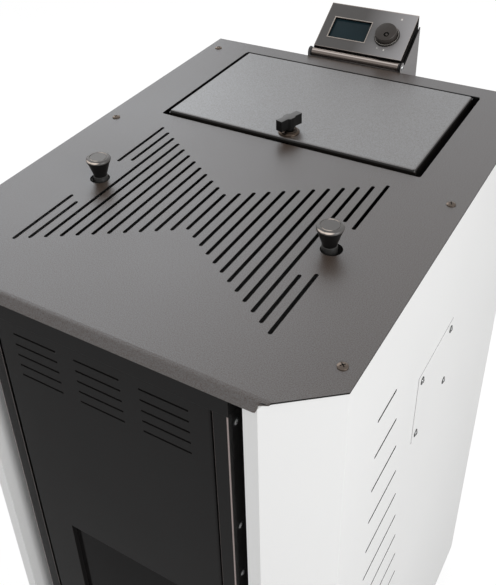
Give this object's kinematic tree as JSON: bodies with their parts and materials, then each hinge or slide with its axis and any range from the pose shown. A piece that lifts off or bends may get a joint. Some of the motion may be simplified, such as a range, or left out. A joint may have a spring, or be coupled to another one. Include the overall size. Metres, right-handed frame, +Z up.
{
  "type": "pellet boiler fireplace",
  "caption": "Free-standing pellet boiler fireplace: white folded-steel casing with cut corners, dark slotted top, rear hopper lid with lock, tilting display console and glazed fire door.",
  "frame": {"origin": "middle of the bounding box at floor level", "axes": "+X to the right seen from the front, +Y to the back, +Z up; the fire door faces -Y"},
  "size_m": [0.5666, 0.845, 1.2107],
  "materials": {
    "white_paint": "fine white powder coat",
    "anthracite_paint": "metallic anthracite powder coat",
    "black_paint": "black heat-proof paint",
    "galvanised": "galvanised sheet",
    "zinc": "zinc-plated steel",
    "bronze_screws": "bronze-black oxide",
    "lock_ring": "dark bronze lacquer",
    "bar": "dark bronze lacquer",
    "black_knob": "moulded black thermoset",
    "black_handle": "black powder coat",
    "stove_glass": "tinted glass ceramic",
    "lcd": "dark display pane",
    "led": "diffusing lens",
    "seal_rope": "woven glass fibre",
    "seal_rubber": "foam rubber",
    "iron": "raw casting",
    "boiler_steel": "grey primer",
    "tube_steel": "mild steel tube",
    "motor": "die-cast housing",
    "pipes": "brass fittings",
    "red_paint": "red enamel",
    "grey_case": "grey powder coat",
    "socket": "moulded black nylon",
    "switch_red": "moulded rocker"
  },
  "bodies": {
    "casing": {"base_frame": "galvanised", "back_panel": "galvanised", "left_side_panel": "white_paint", "right_side_panel": "white_paint", "service_covers": "white_paint", "casing_screws": "zinc", "top_plate": "anthracite_paint", "top_screws": "bronze_screws", "header_panel": "black_paint", "front_frame": "black_paint", "lid_hinges": "zinc", "hopper_seal": "seal_rubber", "hopper": "black_paint", "feed_tube": "tube_steel", "gear_motor": "motor", "boiler_body": "boiler_steel", "fire_floor": "iron", "burner_pot": "iron", "fan_housing": "tube_steel", "fan_motor": "motor", "flue_outlet": "tube_steel", "air_intake": "tube_steel", "console_bracket": "anthracite_paint", "pivot_screws": "zinc", "water_pipes": "pipes", "circulation_pump": "red_paint", "expansion_vessel": "red_paint", "control_box": "grey_case", "power_inlet": "socket"},
    "front_left_foot": {"foot_front_left": "zinc"},
    "front_right_foot": {"foot_front_right": "zinc"},
    "rear_left_foot": {"foot_rear_left": "zinc"},
    "rear_right_foot": {"foot_rear_right": "zinc"},
    "front_door": {"front_door": "black_paint", "door_inner_frame": "iron", "door_glass": "stove_glass", "door_seal": "seal_rope", "door_hinge_pins": "zinc"},
    "door_latch": {"door_handle": "black_handle", "latch_cam": "zinc"},
    "ash_drawer": {"ash_drawer": "black_paint", "drawer_handle": "black_handle"},
    "hopper_lid": {"hopper_lid": "anthracite_paint", "lid_lock_ring": "lock_ring"},
    "lid_lock": {"lid_lock_knob": "black_knob", "lid_lock_cam": "zinc"},
    "left_cleaner": {"left_cleaning_knob": "black_knob", "left_cleaning_rod": "zinc"},
    "right_cleaner": {"right_cleaning_knob": "black_knob", "right_cleaning_rod": "zinc"},
    "console": {"display_housing": "anthracite_paint", "display_glass": "lcd", "status_light": "led", "dial_base": "black_knob", "hinge_bar": "bar"},
    "dial_plunger": {"dial_plunger": "socket"},
    "dial": {"dial_knob": "black_knob"},
    "feed_auger": {"feed_auger": "zinc"},
    "fan_impeller": {"fan_impeller": "zinc"},
    "power_switch": {"power_switch": "switch_red"}
  },
  "joints": [
    {"name": "front_left_foot_screw", "type": "slide", "parent": "casing", "child": "front_left_foot", "axis": [0, 0, -1], "range_m": [0, 0.012]},
    {"name": "front_right_foot_screw", "type": "slide", "parent": "casing", "child": "front_right_foot", "axis": [0, 0, -1], "range_m": [0, 0.012]},
    {"name": "rear_left_foot_screw", "type": "slide", "parent": "casing", "child": "rear_left_foot", "axis": [0, 0, -1], "range_m": [0, 0.012]},
    {"name": "rear_right_foot_screw", "type": "slide", "parent": "casing", "child": "rear_right_foot", "axis": [0, 0, -1], "range_m": [0, 0.012]},
    {"name": "door_swing", "type": "hinge", "parent": "casing", "child": "front_door", "pos_m": [-0.143, -0.3845, 0.722], "axis": [0, 0, -1], "range_deg": [0, 90]},
    {"name": "door_latch_turn", "type": "hinge", "parent": "front_door", "child": "door_latch", "pos_m": [0.126, -0.3845, 0.56], "axis": [0, 1, 0], "range_deg": [0, 90]},
    {"name": "drawer_pull", "type": "slide", "parent": "casing", "child": "ash_drawer", "axis": [0, -1, 0], "range_m": [0, 0.25]},
    {"name": "lid_open", "type": "hinge", "parent": "casing", "child": "hopper_lid", "pos_m": [0, 0.2995, 1.145], "axis": [-1, 0, 0], "range_deg": [0, 75]},
    {"name": "lid_lock_turn", "type": "hinge", "parent": "hopper_lid", "child": "lid_lock", "pos_m": [0, 0.0665, 1.15], "axis": [0, 0, 1], "range_deg": [0, 105]},
    {"name": "left_cleaner_pull", "type": "slide", "parent": "casing", "child": "left_cleaner", "axis": [0, 0, 1], "range_m": [0, 0.1]},
    {"name": "right_cleaner_pull", "type": "slide", "parent": "casing", "child": "right_cleaner", "axis": [0, 0, 1], "range_m": [0, 0.1]},
    {"name": "console_tilt", "type": "hinge", "parent": "casing", "child": "console", "pos_m": [-0.0215, 0.3485, 1.154], "axis": [1, 0, 0], "range_deg": [0, 35]},
    {"name": "dial_press", "type": "slide", "parent": "console", "child": "dial_plunger", "axis": [0, 0.5707, -0.8211], "range_m": [0, 0.001], "stiffness_N_per_m": 1500, "springref_m": -0.001},
    {"name": "dial_turn", "type": "hinge", "parent": "dial_plunger", "child": "dial", "pos_m": [0.018, 0.38398, 1.19144], "axis": [0, -0.5707, 0.8211], "continuous": true},
    {"name": "auger_spin", "type": "hinge", "parent": "casing", "child": "feed_auger", "pos_m": [0, 0.0915, 0.6], "axis": [0, 1, 0], "continuous": true},
    {"name": "fan_spin", "type": "hinge", "parent": "casing", "child": "fan_impeller", "pos_m": [0.11, 0.0615, 0.47], "axis": [0, 1, 0], "continuous": true},
    {"name": "switch_rock", "type": "hinge", "parent": "casing", "child": "power_switch", "pos_m": [0.2005, 0.332, 0.42], "axis": [1, 0, 0], "range_deg": [-16, 0]}
  ]
}
